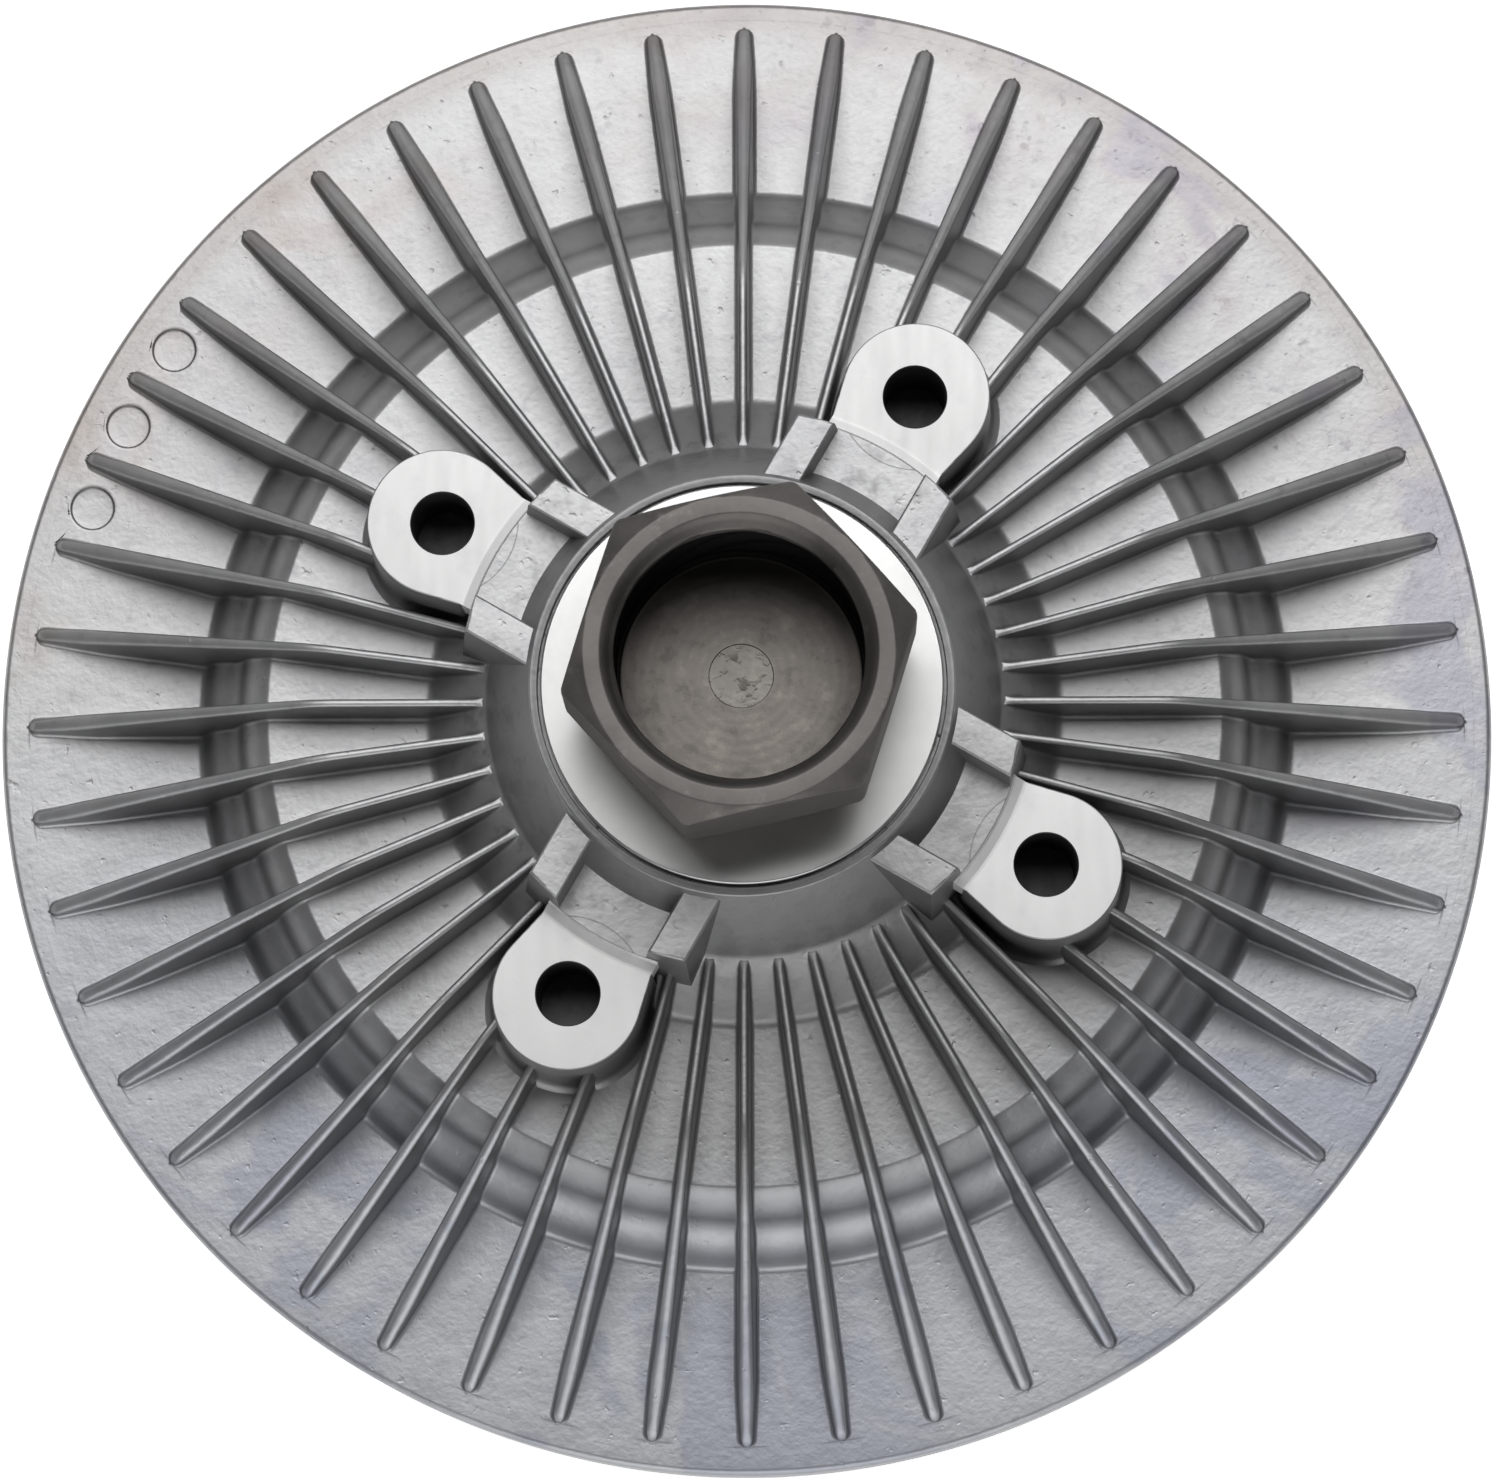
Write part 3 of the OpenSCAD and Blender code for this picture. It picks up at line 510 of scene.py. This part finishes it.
lug = {"radius": 41.0, "turns": (60, 150, 240, 330), "round": 8.8, "taper": math.radians(13), "hole": 3.7,
       "pilot": 33.1, "webHalf": 7.33}
lugVerts, lugFaces, lugMats = [], [], []
rounds = 96
for turn in lug["turns"]:
    base = Matrix.Rotation(math.radians(turn), 4, "Z")

    def put(x, y, z):
        lugVerts.append(base @ Vector((x * mm, y * mm, z * mm)))
        return len(lugVerts) - 1

    rings = []
    angles = [2 * math.pi * i / rounds for i in range(rounds)]
    for r, z in ((0.01, 37.5), (lug["hole"], 37.6), (lug["hole"], 49.45), (3.85, rear["face"])):  # floor, wall, lip
        rings.append([put(lug["radius"] + r * math.cos(t), r * math.sin(t), z) for t in angles])
    sideRows = ((-0.18, rear["face"]), (-0.05, 49.64), (0.0, 49.5), (0.12, 46.0), (0.28, 41.0), (0.4, 38.6),
                (0.65, 37.6), (1.05, 37.0), (1.7, 36.75))
    for grow, z in sideRows:
        ring = []
        for phi in angles:
            d = lugOutline(grow, 7.2, phi)
            ring.append(put(lug["radius"] + d * math.cos(phi), d * math.sin(phi), z))
        rings.append(ring)
    for j in range(len(rings) - 1):
        for i in range(rounds):
            k = (i + 1) % rounds
            lugFaces.append((rings[j][i], rings[j + 1][i], rings[j + 1][k], rings[j][k]))
            lugMats.append(2 if j < 2 else 1 if j == 3 else 0)

    def block(outline, low, high, draft, round):  # outline of (x, y) pairs, drafted, with a rounded top edge
        mid = np.mean(np.array(outline), axis=0)
        lean = draft * (high - low)
        levels = ((lean + 1.0, low), (lean + 0.3, low + 0.5), (lean, low + 1.4),
                  (0.0, high - round), (-0.3 * round, high - 0.3 * round), (-round, high))
        loops = []
        for grow, z in levels:
            loop = []
            for x, y in outline:
                d = np.array([x, y]) - mid
                out = grow if d[0] > 0 else 0.0
                loop.append(put(x + out, y + np.sign(d[1]) * grow, z))
            loops.append(loop)
        n = len(outline)
        for j in range(len(loops) - 1):
            for i in range(n):
                k = (i + 1) % n
                lugFaces.append((loops[j][i], loops[j][k], loops[j + 1][k], loops[j + 1][i]))
                lugMats.append(0)
        lugFaces.append(tuple(loops[-1]))
        lugMats.append(0)

    for s in (-1, 1):
        y0, y1 = s * 8.3 - 2.2, s * 8.3 + 2.2
        steps = [y0 + (y1 - y0) * t / 6 for t in range(7)]
        outer = [(math.sqrt(lug["pilot"] ** 2 - y * y), y) for y in steps]
        block([(21.5, y0)] + outer + [(21.5, y1)], 36.4, rear["rib"], 0.055, 0.35)
    web = arcPath([(24.0, rear["web"], 0), (33.45, rear["web"], 0.12), (33.65, 49.98, 0.15), (34.7, 49.72, 0.6),
                   (35.3, 49.68, 0)], 4)
    side = lug["webHalf"]
    rows = []
    for y, drop in [(-side, 5.0)] + [(y, 0.0) for y in np.linspace(-side, side, 13)] + [(side, 5.0)]:
        rows.append([put(math.sqrt(r * r - y * y), y, z - drop) for r, z in web])
    for j in range(len(rows) - 1):
        for i in range(len(web) - 1):
            lugFaces.append((rows[j][i], rows[j][i + 1], rows[j + 1][i + 1], rows[j + 1][i]))
            lugMats.append(1 if 3 < i else 0)
tapped = plainMetal("tapped_hole", {"dark": (0.10, 0.10, 0.10), "light": (0.2, 0.2, 0.2), "rough": 0.5})
lugMetals = [alloy, machined, tapped]
lugs = addMesh("rear_housing_lugs", lugVerts, lugFaces, lugMetals, "housing", 50)
lugs.data.polygons.foreach_set("material_index", lugMats)
inner = [(23.9, 54.9), (19.0, 54.9), (19.0, 53.2), (21.0, 53.2), (21.0, 36.4), (22.2, 36.4), (22.2, 35.2),
         (21.0, 35.2), (21.0, 32.8), (54.5, 32.8), (54.5, 28.6), (59.5, 28.6), (59.5, 22.0),
         (88.0, 22.0), (88.0, 17.0)]
verts, faces = turned(inner, 128)
inside = addMesh("rear_housing_inside", verts, faces, alloyPlain, "housing", 30)
for piece in (skin, stamps, rim, hub, lugs, inside):
    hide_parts("rear_housing")
print("lugs and inside made")

shield = {"outer": 23.6, "inner": 13.4, "top": 56.7, "low": 55.4, "edge": 0.3}
shieldPath = arcPath([(shield["inner"], shield["low"], 0), (shield["outer"], shield["low"], shield["edge"]),
                      (shield["outer"], shield["top"], shield["edge"]), (shield["inner"], shield["top"], 0)], 5)
verts, faces = turned(shieldPath, 160)
shieldLook = {"dark": (0.57, 0.57, 0.565), "light": (0.68, 0.68, 0.675), "rough": 0.26, "patch": 60,
              "depth": 0.000003}
shieldSteel = plainMetal("shield_steel", shieldLook)
shieldPiece = addMesh("dust_shield_disc", verts, faces, shieldSteel, "drive")
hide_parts("dust_shield")

shaft = {"flat": 18.0, "turn": 12.5, "corner": 20.6, "top": 79.4, "low": 65.0, "core": 14.2, "floor": 61.8,
         "mark": 61.65, "columns": 288, "pitch": 1.5, "threadRows": 110}


def hexEdge(phi):  # radius of the hexagon with slightly rounded corners
    a = (phi - math.radians(shaft["turn"]) + math.pi / 6) % (math.pi / 3) - math.pi / 6
    a = math.pi / 6 - abs(a)
    return min(shaft["flat"] / math.cos(a), shaft["corner"])


shaftRows, threadRows, flat, top = [], shaft["threadRows"], shaft["flat"], shaft["top"]
for i in range(shaft["columns"]):
    phi = 2 * math.pi * i / shaft["columns"]
    edge = hexEdge(phi)
    cut = top - (edge - 17.7) * 2.5 / 4.3
    foot = shaft["low"] + max(0.0, edge - flat) * 2.3 / 4.0
    col = [(8.5, 24.0), (8.5, 36.4), (10.0, 36.4), (10.0, 53.2), (13.4, 53.2), (13.4, 56.7), (16.7, 56.72)]
    col += [(16.7, 64.6), (16.85, 64.9), (17.3, shaft["low"]), (17.95, shaft["low"])]
    col += [(edge - 0.12 - 0.5 * max(0.0, edge - flat) * 0.2, foot - 0.03), (edge, foot + 0.15)]
    col += [(edge, cut - 1.5), (edge, cut - 0.2), (edge - 0.1, cut + 0.02), (edge - 0.34, cut + 0.14)]
    col += [(17.75, 79.34), (17.5, top), (15.95, top), (15.7, 79.33), (15.0, 78.6)]
    for k in range(threadRows + 1):
        z = 77.9 - 15.3 * k / threadRows
        wave = ((z / shaft["pitch"] + phi / (2 * math.pi)) % 1.0)
        fade = min(1.0, max(0.0, (z - 63.4) / 1.5))
        col.append((shaft["core"] + 0.72 * (1 - abs(2 * wave - 1)) * fade, z))
    col += [(shaft["core"], 62.4), (14.0, 61.9)] + [(r, shaft["floor"]) for r in (13.7, 11.0, 8.0, 5.0, 3.78)]
    col += [(3.68, 61.66)] + [(r, shaft["mark"]) for r in (2.4, 1.2, 0.01)]
    shaftRows.append(col)
count = len(shaftRows[0])
verts = []
for j in range(count):
    for i in range(shaft["columns"]):
        a = 2 * math.pi * i / shaft["columns"]
        r, z = shaftRows[i][j]
        verts.append((r * mm * math.cos(a), r * mm * math.sin(a), z * mm))
faces = gridFaces(count, shaft["columns"])
shaftPiece = addMesh("drive_shaft_hexagon", verts, faces, shaftSteel("shaft_steel"), "drive", 38)
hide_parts("drive_shaft")
print("shaft made", count)

coil = {"thick": 0.9, "wide": 6.6, "halves": 9, "step": 1.25, "low": 1.6, "first": 5.2, "side": 0.625,
        "shaft": 3.0, "edge": 0.12, "tail": (-21.675, -14.575), "bends": (5.2, 3.3)}


def strip(points, spec):  # flat spring strip standing on edge along the points
    h, w, e = spec["thick"] / 2, spec["wide"], spec["edge"]
    section = ((-h, e), (-h + e, 0), (h - e, 0), (h, e), (h, w - e), (h - e, w), (-h + e, w), (-h, w - e))
    verts = []
    for i, q in enumerate(points):
        d = np.array(points[min(i + 1, len(points) - 1)]) - np.array(points[max(i - 1, 0)])
        d = d / np.linalg.norm(d)
        for off, up in section:
            verts.append(((q[0] - d[1] * off) * mm, (q[1] + d[0] * off) * mm, (spec["low"] + up) * mm))
    faces = gridFaces(len(points), 8)
    return verts, faces + [tuple(reversed(range(8))), tuple(range(len(verts) - 8, len(verts)))]


spiral = []
for k in range(coil["halves"]):
    mid, r = coil["side"] * (1 if k % 2 == 0 else -1), coil["first"] + k * coil["step"]
    for i in range(0 if k == 0 else 1, 33):
        a = math.pi * (1 - i / 32 - k % 2)
        spiral.append((mid + r * math.cos(a), r * math.sin(a)))
coilSteel = plainMetal("coil_bimetal", {"dark": (0.42, 0.37, 0.28), "light": (0.6, 0.54, 0.43), "rough": 0.32})
verts, faces = strip(spiral, coil)
tail = strip([(x, 0.0) for x in np.linspace(*coil["tail"], 9)], coil)
faces += [tuple(len(verts) + i for i in f) for f in tail[1]]
turns = addMesh("bimetal_coil_turns", verts + tail[0], faces, coilSteel, "housing", 40)
tongueEnd = coil["first"] + coil["side"] + 0.4
verts, faces = strip([(x, 0.0) for x in np.linspace(-coil["shaft"], tongueEnd, 37)], coil)
tongue = addMesh("bimetal_coil_tongue", verts, faces, coilSteel, None, 40)
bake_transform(tongue)
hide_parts("bimetal_coil")
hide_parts("bimetal_coil")
print("coil made", len(spiral))


def steel(name, dark, light, rough, **more):
    return plainMetal(name, {"dark": dark, "light": light, "rough": rough, **more})


looks = {
    "front_cover": alloyPlain,
    "cover_seal": rubber("seal_rubber", (0.02, 0.02, 0.02)),
    "pump_plate": steel("plate_steel", (0.5, 0.51, 0.53), (0.66, 0.67, 0.69), 0.3),
    "plate_rivets": steel("rivet_steel", (0.45, 0.46, 0.48), (0.6, 0.61, 0.62), 0.35),
    "wiper_block": steel("wiper_plastic", (0.72, 0.68, 0.56), (0.82, 0.79, 0.68), 0.4, metal=0.0),
    "bearing_outer_race": steel("race_steel", (0.55, 0.55, 0.56), (0.68, 0.68, 0.69), 0.22),
    "bearing_balls": steel("ball_steel", (0.75, 0.75, 0.77), (0.84, 0.84, 0.86), 0.1, depth=0.000004),
    "bearing_cage_rear": steel("cage_nylon", (0.55, 0.47, 0.3), (0.66, 0.58, 0.4), 0.5, metal=0.0),
    "bearing_clip": steel("clip_steel", (0.2, 0.21, 0.22), (0.32, 0.33, 0.34), 0.35),
    "clutch_rotor": steel("rotor_alloy", (0.62, 0.63, 0.64), (0.74, 0.75, 0.76), 0.35),
    "valve_shaft": steel("valve_steel", (0.4, 0.41, 0.42), (0.56, 0.57, 0.58), 0.3),
    "valve_bush": steel("bush_bronze", (0.45, 0.28, 0.12), (0.6, 0.4, 0.19), 0.4),
}
same = {"bearing_inner_race": "bearing_outer_race", "bearing_cage_front": "bearing_cage_rear",
        "bearing_seal_rear": "cover_seal", "bearing_seal_front": "cover_seal", "valve_seal": "cover_seal",
        "rotor_clip": "bearing_clip", "valve_arm": "pump_plate"}
for name, obj in nodes.items():
    look = looks.get(name) or looks.get(same.get(name, ""))
    if look:
        obj.data.materials.clear()
        obj.data.materials.append(look)
print("materials set")

scene = bpy.context.scene
floorMesh = bpy.data.meshes.new("floor")
floorMesh.from_pydata([(-3, -3, 0), (3, -3, 0), (3, 3, 0), (-3, 3, 0)], [], [(0, 1, 2, 3)])
floor = bpy.data.objects.new("floor", floorMesh)
scene.collection.objects.link(floor)
fs = Shader("pale_floor")
fs.finish(base=fs.tint(fs.noise(6, 2, 0.5), (0.9, 0.9, 0.9), (0.94, 0.94, 0.94)), rough=0.9, level=0.0)
glow = fs.tint(fs.away((0.0, -0.22, 0.0)).rise(0.33, 0.6), (1, 1, 1), (0.05, 0.05, 0.05))
fs.tree.links.new(glow.socket, fs.surface.inputs["Emission Color"])
fs.surface.inputs["Emission Strength"].default_value = 0.75
floorMesh.materials.append(fs.material)

view = {"focal": 5705.6, "elevation": 1.41256258, "azimuth": 0.0858795, "roll": 0.08877229, "far": 0.69513,
        "aim": (745.553, 724.552)}
e, a, roll = view["elevation"], view["azimuth"], view["roll"]
back = Vector((math.sin(a) * math.cos(e), -math.cos(a) * math.cos(e), math.sin(e)))
right = Vector((math.cos(a), math.sin(a), 0))
turn = Matrix((right, back.cross(right), back))
spin = Matrix.Rotation(roll, 3, "Z")
ray = Vector(((view["aim"][0] - 750) / view["focal"], -(view["aim"][1] - 739) / view["focal"], -1)).normalized()
swing = Vector((0, 0, -1)).rotation_difference(ray).to_matrix()
camera = bpy.data.objects.new("camera", bpy.data.cameras.new("camera"))
camera.data.lens = view["focal"] * 36.0 / 1500
camera.data.sensor_width = 36.0
camera.data.clip_start = 0.01
pose = (swing @ spin @ turn).transposed().to_4x4()
pose.translation = back * view["far"] + Vector((0, 0, rear["flange"] * mm))
camera.matrix_world = pose
scene.collection.objects.link(camera)
scene.camera = camera


def softbox(name, place, target, size, power, tone=(1, 1, 1)):
    data = bpy.data.lights.new(name, "AREA")
    data.shape = "RECTANGLE"
    data.size, data.size_y = size
    data.energy = power
    data.color = tone
    lamp = bpy.data.objects.new(name, data)
    lamp.location = place
    lamp.rotation_euler = (Vector(place) - Vector(target)).to_track_quat("Z", "Y").to_euler()
    scene.collection.objects.link(lamp)
    return lamp


softbox("top_box", (0.0, 0.53, 1.2), (0, 0.04, 0), (1.1, 0.76), 7.3)
softbox("rear_box", (0.0, 1.25, 0.85), (0, 0, 0.03), (1.3, 0.4), 0.45)
softbox("fill_box", (0.0, -1.1, 0.6), (0, 0, 0.03), (1.2, 0.8), 4.4)
world = bpy.data.worlds.new("studio")
world.use_nodes = True
world.node_tree.nodes["Background"].inputs["Color"].default_value = (0.97, 0.98, 1.0, 1)
world.node_tree.nodes["Background"].inputs["Strength"].default_value = 0.045
scene.world = world
scene.view_settings.view_transform = "Standard"
print("studio set")
